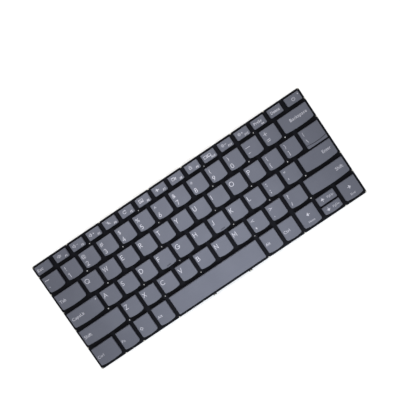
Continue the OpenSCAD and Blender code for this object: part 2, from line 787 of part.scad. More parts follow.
module homing_bar() {
    l = homing_l / 2 - homing_w / 2;
    translate([0, 0, key_top - dish - 0.2]) linear_extrude(homing_h + 0.2) {
        square([2 * l, homing_w], center = true);
        for (x = [-l, l]) {
            translate([x, 0]) circle(homing_w / 2);
        }
    }
}

module function_keycaps() {
    for (key = FUNCTION_KEYS) {
        keycap(key);
    }
}

module modifier_keycaps() {
    for (key = MODIFIER_KEYS) {
        keycap(key);
    }
}

module enter_stabiliser() {
    for (key = MOVING_KEYS) {
        if (key[0] == "enter") {
            stabiliser(key);
        }
    }
}

module space_stabiliser() {
    stabiliser(space_key);
}

base_plate();
switch_membrane();
cover_film();
rubber_domes();
outer_links();
inner_links();
stabiliser_wires();
enter_stabiliser();
space_stabiliser();
function_keycaps();
modifier_keycaps();
for (key = MOVING_KEYS) {
    keycap(key);
}
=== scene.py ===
"""Looks of a laptop replacement keyboard: moulded, printed keycaps over a black film and a steel plate.

Lengths here are in millimetres, and new_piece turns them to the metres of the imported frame.
"""
import math

import bpy
import numpy as np
from mathutils import Matrix


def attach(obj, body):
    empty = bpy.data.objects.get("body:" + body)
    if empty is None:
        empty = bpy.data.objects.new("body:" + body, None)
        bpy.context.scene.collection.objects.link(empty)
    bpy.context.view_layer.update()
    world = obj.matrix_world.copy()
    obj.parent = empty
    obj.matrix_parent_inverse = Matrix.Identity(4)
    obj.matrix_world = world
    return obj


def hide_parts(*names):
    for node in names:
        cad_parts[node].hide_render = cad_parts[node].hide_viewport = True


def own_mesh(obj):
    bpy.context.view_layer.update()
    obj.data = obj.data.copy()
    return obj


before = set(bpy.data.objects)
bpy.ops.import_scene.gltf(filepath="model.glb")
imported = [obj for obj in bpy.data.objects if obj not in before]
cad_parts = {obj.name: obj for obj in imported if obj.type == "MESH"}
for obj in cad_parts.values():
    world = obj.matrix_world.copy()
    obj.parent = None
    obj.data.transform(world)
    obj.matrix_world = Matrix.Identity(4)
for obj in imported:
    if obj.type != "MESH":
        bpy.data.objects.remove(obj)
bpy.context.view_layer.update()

# Sizes shared with the CAD source
MM = 0.001
PLATE_W = 282.0
PLATE_D = 110.2
PLATE_T = 0.5
CORNER_R = 1.2
EAR_W = 3.4
EAR_OUT = 1.0
EAR_CUT = 0.3
EAR_IN = 35.6
BACK_Y = (PLATE_D + EAR_OUT) / 2
FILM_T = 0.15
FILM_INSET = 0.25
FILM_Z = 0.95
NOTCH_R = 1.0
CORNER_CUT = 1.7
PITCH = 19.05
KEY_GAP = 3.5
KEY_W = PITCH - KEY_GAP
SIDE_MARGIN = 2.3
BACK_MARGIN = 1.95
FUNCTION_W = 13.4
FUNCTION_D = 8.0
FUNCTION_GAP = 3.93
ESCAPE_W = 15.1
POWER_W = 15.0
TILDE_W = 15.9
TAB_W = 24.9
BACKSLASH_W = 20.4
BACKSLASH_D = 17.8
CAPS_W = 31.35
LEFT_SHIFT_W = 41.1
SLASH_W = 17.85
CTRL_W = 22.1
BOTTOM_D = 18.0
ARROW_W = 18.0
ARROW_GAP = 3.6
ARROW_D = 8.25
ARROW_SPLIT = 1.5
HOLE_DROP = 0.9
FUNCTION_HOLE_DROP = 1.2
KEY_TOP = 5.0
DISH = 0.14
DISH_IN = 0.9
DISHED_W = 18.4
FRONT_BOW = 1.0
SEAM_W = 0.5
SEAM_DEPTH = 0.35

# How far the printed legends stand above the keycaps, and each shape in one above the shape before
INK_LIFT = 0.03
INK_STEP = 0.002
# How far a thin sheet stands above what it lies on
SHEET_LIFT = 0.01
# How far a piece stays inside an edge, or runs past one into its neighbour
HAIR = 0.02
# Lengths and areas below this count as none
TINY = 1e-6
# Height above which the homing bars take a darker colour: painted shade, standing for the shade at the bars
BAR_SHADE_Z = 5.02
# Half the angle that the seam's bottom spans
SEAM_TURN = 10.8


# Keys: where each one lies, as (left, back, width, depth) from the plate's back left corner
def row_y(n):
    """Distance from the plate's back edge to key row n."""
    return BACK_MARGIN if n == 0 else BACK_MARGIN + FUNCTION_D + KEY_GAP + (n - 1) * PITCH


def key_run(names, x, row):
    """Keys side by side at the grid's pitch."""
    return {name: (x + i * PITCH, row_y(row), KEY_W, KEY_W) for i, name in enumerate(names)}


RIGHT_X = PLATE_W - SIDE_MARGIN
NUMBER_X = SIDE_MARGIN + TILDE_W + KEY_GAP
Q_X = SIDE_MARGIN + TAB_W + KEY_GAP
A_X = SIDE_MARGIN + CAPS_W + KEY_GAP
Z_X = SIDE_MARGIN + LEFT_SHIFT_W + KEY_GAP
FN_X = SIDE_MARGIN + CTRL_W + KEY_GAP
SPACE_X = FN_X + 3 * PITCH
ARROW_STEP = ARROW_W + ARROW_GAP
LEFT_ARROW_X = RIGHT_X - ARROW_W - 2 * ARROW_STEP
RIGHT_CTRL_X = LEFT_ARROW_X - KEY_GAP - KEY_W
RIGHT_ALT_X = RIGHT_CTRL_X - PITCH
SLASH_X = Z_X + 9 * PITCH
RIGHT_SHIFT_X = SLASH_X + SLASH_W + KEY_GAP
BACKSPACE_X = NUMBER_X + 12 * PITCH
BACKSLASH_X = Q_X + 12 * PITCH
ENTER_X = A_X + 11 * PITCH
FUNCTION_STEP = FUNCTION_W + FUNCTION_GAP
FUNCTION_X = (SIDE_MARGIN + ESCAPE_W + RIGHT_X - POWER_W - 14 * FUNCTION_STEP + FUNCTION_GAP) / 2
LEFT_EAR_X = SPACE_X + EAR_IN
RIGHT_EAR_X = 158.6
FUNCTION_NAMES = [f"f{n}" for n in range(1, 13)] + ["print_screen", "delete"]

moving_keys = {
    "tilde": (SIDE_MARGIN, row_y(1), TILDE_W, KEY_W),
    **key_run([*"1234567890", "minus", "equals"], NUMBER_X, 1),
    **key_run([*"qwertyuiop", "left_bracket", "right_bracket"], Q_X, 2),
    "backslash": (BACKSLASH_X, row_y(2), BACKSLASH_W, BACKSLASH_D),
    **key_run([*"asdfghjkl", "semicolon", "quote"], A_X, 3),
    "enter": (ENTER_X, row_y(3), RIGHT_X - ENTER_X, KEY_W),
    **key_run([*"zxcvbnm", "comma", "period"], Z_X, 4),
    "slash": (SLASH_X, row_y(4), SLASH_W, KEY_W),
    "space": (SPACE_X, row_y(5), RIGHT_ALT_X - KEY_GAP - SPACE_X, BOTTOM_D),
}
function_keys = {
    "escape": (SIDE_MARGIN, row_y(0), ESCAPE_W, FUNCTION_D),
    **{name: (FUNCTION_X + i * FUNCTION_STEP, row_y(0), FUNCTION_W, FUNCTION_D)
       for i, name in enumerate(FUNCTION_NAMES)},
    "power": (RIGHT_X - POWER_W, row_y(0), POWER_W, FUNCTION_D),
}
modifier_keys = {
    "backspace": (BACKSPACE_X, row_y(1), RIGHT_X - BACKSPACE_X, KEY_W),
    "tab": (SIDE_MARGIN, row_y(2), TAB_W, KEY_W),
    "caps_lock": (SIDE_MARGIN, row_y(3), CAPS_W, KEY_W),
    "left_shift": (SIDE_MARGIN, row_y(4), LEFT_SHIFT_W, KEY_W),
    "right_shift": (RIGHT_SHIFT_X, row_y(4), RIGHT_X - RIGHT_SHIFT_X, KEY_W),
    "left_ctrl": (SIDE_MARGIN, row_y(5), CTRL_W, BOTTOM_D),
    "fn": (FN_X, row_y(5), KEY_W, BOTTOM_D),
    "system": (FN_X + PITCH, row_y(5), KEY_W, BOTTOM_D),
    "left_alt": (FN_X + 2 * PITCH, row_y(5), KEY_W, BOTTOM_D),
    "right_alt": (RIGHT_ALT_X, row_y(5), KEY_W, BOTTOM_D),
    "right_ctrl": (RIGHT_CTRL_X, row_y(5), KEY_W, BOTTOM_D),
    "left": (LEFT_ARROW_X, row_y(5), ARROW_W, BOTTOM_D),
    "up": (LEFT_ARROW_X + ARROW_STEP, row_y(5), ARROW_W, ARROW_D),
    "down": (LEFT_ARROW_X + ARROW_STEP, row_y(5) + ARROW_D + ARROW_SPLIT, ARROW_W, ARROW_D),
    "right": (LEFT_ARROW_X + 2 * ARROW_STEP, row_y(5), ARROW_W, BOTTOM_D),
}


# Materials
def linear(hex_colour):
    """A written sRGB colour as the linear colour that a shader takes."""
    rgb = np.array([int(hex_colour[i:i + 2], 16) for i in (1, 3, 5)]) / 255
    return (*np.where(rgb <= 0.04045, rgb / 12.92, ((rgb + 0.055) / 1.055) ** 2.4), 1.0)


def add_node(tree, kind, inputs, **settings):
    """Adds one node with its settings. Each input takes a plain value or another node's output."""
    node = tree.nodes.new("ShaderNode" + kind)
    for name, value in settings.items():
        setattr(node, name, value)
    for socket, value in inputs.items():
        if isinstance(value, bpy.types.NodeSocket):
            tree.links.new(value, node.inputs[socket])
        else:
            node.inputs[socket].default_value = value
    return node.outputs


def finish(name, dark, pale, cloud, fine, rough, relief, along=1.0, **shader_values):
    """A finish on Object coordinates.

    Its colour drifts from dark to pale in clouds of so many millimetres. Its roughness runs between two
    values, and its surface rises by relief millimetres, with a fine grain drawn out along the part. Grain
    that is too fine to show is drawn a few times coarser than the real one.
    """
    material = bpy.data.materials.new(name)
    material.use_nodes = True
    tree = material.node_tree
    shader = tree.nodes["Principled BSDF"].inputs
    for socket, value in shader_values.items():
        shader[socket.replace("_", " ")].default_value = value
    place = add_node(tree, "TexCoord", {})["Object"]
    spread = add_node(tree, "Mapping", {"Vector": place, "Scale": (1 / along, 1, 1)})["Vector"]
    drift = add_node(tree, "TexNoise", {"Vector": spread, "Scale": 1 / (cloud * MM), "Detail": 2.0})["Fac"]
    grain = add_node(tree, "TexNoise", {"Vector": spread, "Scale": 1 / (fine * MM), "Detail": 3.0})["Fac"]
    share = add_node(tree, "MapRange", {"Value": drift, "From Min": 0.3, "From Max": 0.7})["Result"]
    # A Mix node's colour sockets are its seventh and eighth inputs and its third output
    colour = add_node(tree, "Mix", {0: share, 6: linear(dark), 7: linear(pale)}, data_type="RGBA")[2]
    dull = add_node(tree, "MapRange", {"Value": grain, "From Min": 0.3, "From Max": 0.7, "To Min": rough[0],
                                       "To Max": rough[1]})["Result"]
    raised = add_node(tree, "Bump", {"Height": grain, "Distance": relief * MM})["Normal"]
    for socket, output in (("Base Color", colour), ("Roughness", dull), ("Normal", raised)):
        tree.links.new(output, shader[socket])
    return material


def recoloured_above(base, name, height, upper_colour):
    """A copy of a finish whose colour is another one above a height in millimetres."""
    material = base.copy()
    material.name = name
    tree = material.node_tree
    shader = tree.nodes["Principled BSDF"].inputs["Base Color"]
    place = add_node(tree, "TexCoord", {})["Object"]
    z = add_node(tree, "SeparateXYZ", {"Vector": place})["Z"]
    above = add_node(tree, "Math", {0: z, 1: height * MM}, operation="GREATER_THAN")[0]
    lower_colour = shader.links[0].from_socket
    colour = add_node(tree, "Mix", {0: above, 6: lower_colour, 7: linear(upper_colour)}, data_type="RGBA")[2]
    tree.links.new(colour, shader)
    return material


# ABS moulded in a spark-eroded tool and coated matt: a soft, even sheen over a fine grain
keycap_abs = finish("moulded_abs_matt_grey", "#7a7d8c", "#808392", 22, 0.35, (0.46, 0.6), 0.012,
                    IOR=1.5, Specular_IOR_Level=0.45)
# The same ABS coloured darker on the top of a homing bar: a dark line of painted shade, standing for the
# bar's shadow and its shaded front
bar_shade_abs = recoloured_above(keycap_abs, "moulded_abs_bar_painted_shade", BAR_SHADE_Z, "#5a5d69")
# Near-black ABS laid down in a seam: painted shade, dark and dull, standing for the shade in the seam
seam_shade_abs = finish("seam_painted_shade_abs", "#1f2026", "#292a31", 3, 0.3, (0.5, 0.6), 0.004,
                  IOR=1.5, Specular_IOR_Level=0.3)
# PET film printed black on its back: nearly black, with a faint cool sheen and shallow waves
black_film = finish("black_pet_film", "#0f1019", "#14151e", 14, 0.5, (0.32, 0.42), 0.006,
                    IOR=1.57, Specular_IOR_Level=0.15)
# Cold-rolled steel with a thin zinc coat: grey, with fine rolling lines along the plate
zinc_steel = finish("zinc_coated_steel", "#a9acb0", "#c3c5c8", 3, 0.6, (0.34, 0.48), 0.01, along=40,
                    Metallic=1.0)
# The same zinc where the film's notches bare it: paler, a little warm, and less of a mirror
pale_zinc = finish("pale_zinc", "#e9e5d8", "#f2efe4", 1.5, 0.3, (0.4, 0.5), 0.004, Metallic=0.15)
# Drawn stainless spring wire: bright, with die lines along it
spring_wire = finish("drawn_stainless_wire", "#b0b1b4", "#cccdd0", 1, 0.15, (0.2, 0.32), 0.003, along=30,
                     Metallic=1.0)
# Clear PET sheets with printed carbon lines between them: smoky, smooth and glossy
membrane_pet = finish("printed_pet_membrane", "#33343b", "#45474f", 5, 1.2, (0.22, 0.34), 0.004, IOR=1.57)
# Compression-moulded silicone: milky, soft and slightly dusty
milky_silicone = finish("milky_silicone_rubber", "#c9ccd0", "#dcdee1", 1.6, 0.4, (0.5, 0.66), 0.006,
                        IOR=1.41, Subsurface_Weight=0.25, Subsurface_Scale=0.8 * MM)
# Acetal moulded in thin bars: white, waxy and a little warm
link_acetal = finish("moulded_white_acetal", "#d6d5d0", "#e6e5e1", 2, 0.5, (0.3, 0.42), 0.004, IOR=1.48)
# White screen ink laid thick: flat, a touch lilac, with pinholes that mottle it
legend_ink = finish("white_legend_ink", "#e6e6f5", "#f2f2fc", 0.5, 0.3, (0.5, 0.62), 0.004, IOR=1.5)
# Polycarbonate light guide set flush in a cap: milky and glossy
light_guide = finish("milky_polycarbonate", "#e4e4f0", "#f2f2fa", 0.6, 0.4, (0.2, 0.3), 0.002, IOR=1.58)

# The keycaps with homing bars take the ABS with painted shade on their bars
node_finishes = {"base_plate": zinc_steel, "switch_membrane": membrane_pet, "cover_film": black_film,
                 "rubber_domes": milky_silicone, "outer_links": link_acetal, "inner_links": link_acetal,
                 "stabiliser_wires": spring_wire, "enter_stabiliser": spring_wire,
                 "space_stabiliser": spring_wire, "keycap_f": bar_shade_abs, "keycap_j": bar_shade_abs}
for name, cad_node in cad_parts.items():
    for place in cad_node.material_slots:
        place.material = node_finishes.get(name, keycap_abs)


# Meshes
def new_piece(name, points, faces, material, body=None, slot=None):
    """Puts points, in millimetres, and faces into a mesh in metres that rides on a body."""
    mesh = bpy.data.meshes.new(name)
    mesh.from_pydata((np.asarray(points) * MM).tolist(), [], np.asarray(faces).tolist())
    mesh.materials.append(material)
    piece = bpy.data.objects.new(name, mesh)
    bpy.context.scene.collection.objects.link(piece)
    if body:
        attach(piece, body)
    return piece


def joined(shapes):
    """Several pairs of points and triangles as one: corner numbers move up by the points before them."""
    starts = np.cumsum([0] + [len(points) for points, _ in shapes[:-1]])
    return (np.vstack([points for points, _ in shapes]),
            np.vstack([faces + start for (_, faces), start in zip(shapes, starts)]))


def mesh_arrays(mesh):
    """A mesh's points and its triangles as arrays."""
    mesh.calc_loop_triangles()
    points = np.empty(len(mesh.vertices) * 3)
    mesh.vertices.foreach_get("co", points)
    faces = np.empty(len(mesh.loop_triangles) * 3, np.int32)
    mesh.loop_triangles.foreach_get("vertices", faces)
    return points.reshape(-1, 3), faces.reshape(-1, 3)


def band(near, far):
    """Two triangles for each stretch between two rows of points, whose numbers are given."""
    first = np.stack([near[:-1], far[:-1], far[1:]], axis=1)
    second = np.stack([near[:-1], far[1:], near[1:]], axis=1)
    return np.vstack([first, second])


def twice_area(points, faces):
    """Twice each triangle's area in plan, above nought where its corners run anticlockwise."""
    u = points[faces[:, 1]] - points[faces[:, 0]]
    v = points[faces[:, 2]] - points[faces[:, 0]]
    return u[:, 0] * v[:, 1] - u[:, 1] * v[:, 0]


def at_height(flat, height):
    """Flat points, all at one height."""
    return np.column_stack([flat, np.full(len(flat), height)])


# Flat shapes for the legends, drawn with y up
def convex(*corners):
    """A filled shape with straight sides: a fan of triangles from its first corner."""
    n = np.arange(1, len(corners) - 1)
    return np.array(corners, float), np.stack([np.zeros_like(n), n, n + 1], axis=1)


def arc(x, y, r, start, end, steps=18):
    """Points round a circle at even angles from one to another, in degrees."""
    a = np.radians(np.linspace(start, end, steps))
    return np.stack([x + r * np.cos(a), y + r * np.sin(a)], axis=1)


def disc(x, y, r, steps=20):
    """A filled circle: a fan of the points round it."""
    return convex(*arc(x, y, r, 0, 360 - 360 / steps, steps))


SHARPEST = 0.4


def line(path, width=0.34):
    """A line of one width with round ends.

    Each point of the path moves to both sides along the mean normal of its two stretches, half the width
    divided by the cosine of half the turn there, which counts as SHARPEST at least, so that no corner runs
    out far. A half disc closes each end, but a path that comes back to its start has none and turns there
    as at its other points. A point that repeats the one before is left out.
    """
    path = np.asarray(path, float)
    path = path[np.append(True, np.linalg.norm(np.diff(path, axis=0), axis=1) > TINY)]
    step = np.diff(path, axis=0)
    step /= np.linalg.norm(step, axis=1, keepdims=True)
    closed = np.allclose(path[0], path[-1])
    before = np.vstack([step[-1:] if closed else step[:1], step])
    after = np.vstack([step, step[:1] if closed else step[-1:]])
    mean = before + after
    mean /= np.linalg.norm(mean, axis=1, keepdims=True)
    reach = width / 2 / np.maximum((mean * after).sum(axis=1, keepdims=True), SHARPEST)
    normal = mean[:, ::-1] * (-1, 1) * reach
    heading = np.degrees(np.arctan2(step[:, 1], step[:, 0]))
    ends = [convex(*arc(*path[0], width / 2, heading[0] + 90, heading[0] + 270, 9)),
            convex(*arc(*path[-1], width / 2, heading[-1] - 90, heading[-1] + 90, 9))]
    i = np.arange(len(path))
    sides = (np.vstack([path + normal, path - normal]), band(i, i + len(path)))
    return sides if closed else joined([sides, *ends])


def outline(*corners, width=0.34):
    """A closed line through the corners."""
    return line([*corners, corners[0]], width)


def glyphs(text, slant):
    """Points and triangles of a word in Blender's own plain lettering, without the empty triangles."""
    curve = bpy.data.curves.new("lettering", "FONT")
    curve.body = text
    curve.shear = slant
    curve.resolution_u = 4
    holder = bpy.data.objects.new("lettering", curve)
    mesh = bpy.data.meshes.new_from_object(holder)
    points, faces = mesh_arrays(mesh)
    bpy.data.objects.remove(holder)
    bpy.data.meshes.remove(mesh)
    bpy.data.curves.remove(curve)
    return points[:, :2], faces[np.abs(twice_area(points, faces)) > TINY]


CAPITAL_H = float(np.ptp(glyphs("H", 0.0)[0][:, 1]))


def word(text, x, y, size, anchor="left", slant=0.0, width=None):
    """A word with capitals of one size, drawn out to a width if one is given.

    Its box's side or middle lies at x, and its middle y in from the key's back.
    """
    points, faces = glyphs(text, slant)
    points = points * size / CAPITAL_H
    if width:
        points[:, 0] *= width / np.ptp(points[:, 0])
    low, high = points.min(axis=0), points.max(axis=0)
    at = {"left": low[0], "right": high[0], "middle": (low[0] + high[0]) / 2}[anchor]
    return points - (at, (low[1] + high[1]) / 2) + (x, -y), faces


def bolder(shape, by=0.06):
    """A shape laid five times, a little apart, which thickens its lines."""
    points, faces = shape
    return [(points + move, faces) for move in ((0, 0), (by, 0), (-by, 0), (0, by), (0, -by))]


# Letters and digits as lines of one width, each one unit high and with its left side at 0
O_LINE = arc(0.5, 0.5, 0.5, 0, 360, 40)
P_LINE = [(0, 0), (0, 1), (0.3, 1), *arc(0.3, 0.74, 0.26, 90, -90), (0, 0.48)]
DRAWN = {
    "A": [[(0, 0), (0.42, 1), (0.84, 0)], [(0.15, 0.33), (0.69, 0.33)]],
    "B": [[(0, 0), (0, 1), (0.3, 1), *arc(0.3, 0.76, 0.24, 90, -90), (0, 0.52)],
          [(0.3, 0.52), *arc(0.34, 0.26, 0.26, 90, -90), (0, 0)]],
    "C": [arc(0.5, 0.5, 0.5, 48, 312)],
    "D": [[(0, 0), (0, 1), (0.28, 1), *arc(0.28, 0.5, 0.5, 90, -90), (0, 0)]],
    "E": [[(0.55, 1), (0, 1), (0, 0), (0.55, 0)], [(0, 0.52), (0.48, 0.52)]],
    "F": [[(0.52, 1), (0, 1), (0, 0)], [(0, 0.5), (0.45, 0.5)]],
    "G": [[*arc(0.5, 0.5, 0.5, 48, 350), (0.98, 0.48), (0.58, 0.48)]],
    "H": [[(0, 0), (0, 1)], [(0.68, 0), (0.68, 1)], [(0, 0.52), (0.68, 0.52)]],
    "I": [[(0, 0), (0, 1)]],
    "J": [[(0.46, 1), *arc(0.22, 0.24, 0.24, 0, -150)]],
    "K": [[(0, 0), (0, 1)], [(0.58, 1), (0, 0.4)], [(0.2, 0.62), (0.62, 0)]],
    "L": [[(0, 1), (0, 0), (0.5, 0)]],
    "M": [[(0, 0), (0, 1), (0.4, 0.3), (0.8, 1), (0.8, 0)]],
    "N": [[(0, 0), (0, 1), (0.68, 0), (0.68, 1)]],
    "O": [O_LINE],
    "P": [P_LINE],
    "Q": [O_LINE, [(0.62, 0.3), (0.92, -0.02)]],
    "R": [P_LINE, [(0.28, 0.48), (0.58, 0)]],
    "S": [[*arc(0.26, 0.75, 0.25, 35, 260), *arc(0.26, 0.25, 0.25, 80, -145)]],
    "T": [[(0, 1), (0.64, 1)], [(0.32, 1), (0.32, 0)]],
    "U": [[(0, 1), *arc(0.32, 0.32, 0.32, 180, 360), (0.64, 1)]],
    "V": [[(0, 1), (0.38, 0), (0.76, 1)]],
    "W": [[(0, 1), (0.28, 0), (0.56, 0.95), (0.84, 0), (1.12, 1)]],
    "X": [[(0, 0), (0.66, 1)], [(0, 1), (0.66, 0)]],
    "Y": [[(0, 1), (0.34, 0.48), (0.68, 1)], [(0.34, 0.48), (0.34, 0)]],
    "Z": [[(0, 1), (0.62, 1), (0, 0), (0.62, 0)]],
    "0": [[*arc(0.28, 0.7, 0.28, 0, 180), *arc(0.28, 0.3, 0.28, 180, 360), (0.56, 0.7)]],
    "1": [[(0, 0.78), (0.26, 1), (0.26, 0)]],
    "2": [[*arc(0.26, 0.74, 0.26, 165, -35), (0, 0), (0.56, 0)]],
    "3": [[*arc(0.24, 0.76, 0.24, 145, -80), *arc(0.25, 0.27, 0.27, 80, -145)]],
    "4": [[(0.44, 0), (0.44, 1), (0, 0.28), (0.62, 0.28)]],
    "5": [[(0.5, 1), (0.1, 1), (0.05, 0.55), *arc(0.25, 0.3, 0.3, 110, -140)]],
    "6": [arc(0.28, 0.28, 0.28, 0, 360), [(0.42, 1), (0.05, 0.42)]],
    "7": [[(0, 1), (0.54, 1), (0.17, 0)]],
    "8": [arc(0.27, 0.77, 0.23, 0, 360), arc(0.27, 0.27, 0.27, 0, 360)],
    "9": [arc(0.28, 0.72, 0.28, 0, 360), [(0.51, 0.58), (0.14, 0)]],
}


def letter(name, x, y, size, anchor="left", width=0.52):
    """A letter or digit in lines, with its left side or middle at x and its middle y in from the back."""
    paths = [np.asarray(path) * (size - width) for path in DRAWN[name]]
    start = x + width / 2 if anchor == "left" else x - max(path[:, 0].max() for path in paths) / 2
    return [line(path + (start, (width - size) / 2 - y), width) for path in paths]


def turned(points, turn):
    """Flat points turned anticlockwise about the origin by an angle in degrees."""
    c, s = math.cos(math.radians(turn)), math.sin(math.radians(turn))
    return points @ np.array([[c, s], [-s, c]])


def picture(name, x, y, turn=0):
    """A small picture turned about its middle, which is x in from the key's left and y in from its back."""
    points, faces = joined(PICTURES[name])
    return turned(points, turn) + (x, -y), faces


def shifted(shapes, x):
    """Flat shapes moved along x."""
    return [(points + (x, 0), faces) for points, faces in shapes]


# Small pictures, each about its own middle
SPEAKER = [outline((-1.6, -0.5), (-0.8, -0.5), (0.2, -1.4), (0.2, 1.4), (-0.8, 0.5), (-1.6, 0.5))]
SUN = [line(arc(0, 0, 0.75, 0, 360)),
       *[line([(1.15 * math.cos(a), 1.15 * math.sin(a)), (1.5 * math.cos(a), 1.5 * math.sin(a))], 0.28)
         for a in np.radians(range(0, 360, 45))]]
MINUS = [line([(-0.65, 0), (0.65, 0)], 0.36)]
PLUS = [*MINUS, line([(0, -0.65), (0, 0.65)], 0.36)]
SLASH_LINE = line([(-1.7, 1.4), (1.7, -1.4)], 0.4)
PICTURES = {
    "mute": [*SPEAKER, line([(0.7, 0.8), (1.9, -0.8)], 0.42), line([(0.7, -0.8), (1.9, 0.8)], 0.42)],
    "softer": [*SPEAKER, line(arc(-0.2, 0, 1.1, -45, 45)), *shifted(MINUS, 2.8)],
    "louder": [*SPEAKER, line(arc(-0.2, 0, 1.1, -45, 45)), *shifted(PLUS, 2.8)],
    "microphone": [line([(0, 0.2), (0, 1.2)], 0.6), line(arc(0, 0.3, 1.0, 200, 340), 0.3),
                   line([(0, -0.7), (0, -1.4)], 0.3), SLASH_LINE],
    "refresh": [line(arc(0, 0, 1.35, 40, 330), 0.45), convex((0.4, 0.6), (1.7, 0.4), (1.5, 1.7))],
    "touchpad": [outline((-1.9, -1.4), (1.9, -1.4), (1.9, 1.4), (-1.9, 1.4)),
                 line([(-1.9, -0.6), (1.9, -0.6)]), line([(0, -1.4), (0, -0.6)]), SLASH_LINE],
    "aeroplane": [line([(-1.5, 0), (1.3, 0)], 0.6), convex((0.6, 0), (-0.4, 0), (-1.0, -1.6), (-0.5, -1.6)),
                  convex((0.6, 0), (-0.5, 1.6), (-1.0, 1.6), (-0.4, 0)),
                  convex((-1.2, 0), (-1.8, 0.7), (-1.8, -0.7))],
    "camera": [outline((-2.0, -1.1), (0.7, -1.1), (0.7, 1.1), (-2.0, 1.1)),
               convex((0.9, 0), (2.0, -0.9), (2.0, 0.9)), SLASH_LINE],
    "lock": [outline((-1.15, -1.4), (1.15, -1.4), (1.15, 0.1), (-1.15, 0.1)),
             line([(-0.75, 0.1), *arc(0, 0.7, 0.75, 180, 0), (0.75, 0.1)])],
    "screens": [outline((-3.4, -1.1), (-0.6, -1.1), (-0.6, 1.1), (-3.4, 1.1)),
                line([(-0.2, -1.2), (0.4, 1.2)]),
                outline((0.8, -0.8), (3.4, -0.8), (3.4, 1.1), (0.8, 1.1)),
                line([(0.5, -1.2), (3.7, -1.2)])],
    "dimmer": [*SUN, *shifted(MINUS, 2.8)],
    "brighter": [*SUN, *shifted(PLUS, 2.8)],
    "power": [line(arc(0, 0, 1.5, 125, 415), 0.42), line([(0, 0.3), (0, 1.6)], 0.42)],
    "arrow": [convex((-1.7, 0), (0.3, -1.9), (0.3, 1.9)), line([(0.2, 0), (1.5, 0)], 0.6)],
    "square": [outline((-1.4, 0), (0, -1.4), (1.4, 0), (0, 1.4), width=0.45)],
}


# What is printed on each key
def two_marks(upper, lower, upper_place, lower_place):
    """Marks at a key's back and front, each with its middle x in, y in from the back, and its size."""
    return [word(upper, *upper_place, "middle"), word(lower, *lower_place, "middle")]


LETTER_PLACE = (1.45, 4.85)
LETTER_H = 4.4
legends = {name: letter(name.upper(), *LETTER_PLACE, LETTER_H) for name in "qwertyuiopasdfghjklzxcvbnm"}
SYMBOL_SIZES = (3.9, 2.9, 3.6, 3.1, 3.4, 3.4, 3.5, 3.8, 3.1, 3.1)
for digit, symbol, size in zip("1234567890", "!@#$%^&*()", SYMBOL_SIZES):
    legends[digit] = [word(symbol, 3.2, 3.5 if symbol in "^*" else 4.3, size, "middle"),
                      *letter(digit, 3.15, 11.0, 4.3, "middle", 0.5)]
legends |= {
    "tilde": [*bolder(word("~", 1.5, 3.6, 3.8, width=3.8)), *bolder(word("`", 1.9, 9.9, 4.0))],
    "minus": [line([(1.7, -5.3), (6.3, -5.3)], 0.38), line([(1.8, -10.4), (4.0, -10.4)], 0.36)],
    "equals": [line([(2.4, -4.3), (5.6, -4.3)], 0.45), line([(4.0, -2.7), (4.0, -5.9)], 0.45),
               line([(2.3, -9.6), (5.5, -9.6)], 0.48), line([(2.3, -11.0), (5.5, -11.0)], 0.48)],
    "left_bracket": two_marks("{", "[", (3.2, 4.0, 3.0), (3.2, 10.8, 3.1)),
    "right_bracket": two_marks("}", "]", (3.3, 4.0, 3.0), (3.2, 10.8, 3.1)),
    "backslash": [*bolder(word("|", 3.1, 4.0, 2.8, "middle")),
                  *bolder(word("\\", 3.1, 10.7, 3.2, "middle"))],
    "semicolon": [*bolder(word(":", 3.0, 3.7, 4.0, "middle"), 0.1),
                  *bolder(word(";", 3.0, 10.7, 4.0, "middle"))],
    "quote": two_marks('"', "'", (3.0, 3.3, 4.0), (3.0, 10.1, 4.2)),
    "comma": [line([(5.0, -2.9), (2.1, -3.95), (5.0, -5.0)], 0.38),
              *bolder(word(",", 3.2, 11.4, 5.2, "middle"), 0.1)],
    "period": [line([(2.1, -2.9), (5.0, -3.95), (2.1, -5.0)], 0.4), word(".", 3.2, 11.6, 4.6, "middle")],
    "slash": [*bolder(word("?", 3.1, 3.8, 3.6, "middle")), *bolder(word("/", 2.9, 10.9, 3.2, "middle"))],
    "enter": bolder(word("Enter", moving_keys["enter"][2] - 3.2, 6.9, 2.75, "right"), 0.04),
}
corner_marks = [("f1", "mute", 4.6, 3.5), ("f2", "softer", 3.7, 3.5), ("f3", "louder", 3.7, 3.5),
                ("f4", "microphone", 5.0, 3.4), ("f5", "refresh", 4.7, 3.5), ("f6", "touchpad", 4.8, 3.4),
                ("f7", "aeroplane", 4.8, 3.5), ("f8", "camera", 4.7, 3.4), ("f9", "lock", 4.6, 3.4),
                ("f10", "screens", 5.2, 3.4), ("f11", "dimmer", 4.0, 3.4), ("f12", "brighter", 4.0, 3.4)]
function_legends = {
    key: [picture(name, x, y), *bolder(word(key.upper(), FUNCTION_W - 1.7, 6.2, 1.75, "right", 0.25))]
    for key, name, x, y in corner_marks}
function_legends |= {
    "escape": bolder(word("Esc", 1.4, 3.8, 2.6, width=5.5)),
    "print_screen": [*bolder(word("PrtSc", 2.0, 3.4, 2.2, width=7.9)), *bolder(word("Ins", 8.2, 6.3, 1.6))],
    "delete": bolder(word("Delete", 2.2, 3.8, 2.5, width=8.7)),
    "power": [picture("power", 7.7, 4.1)],
}
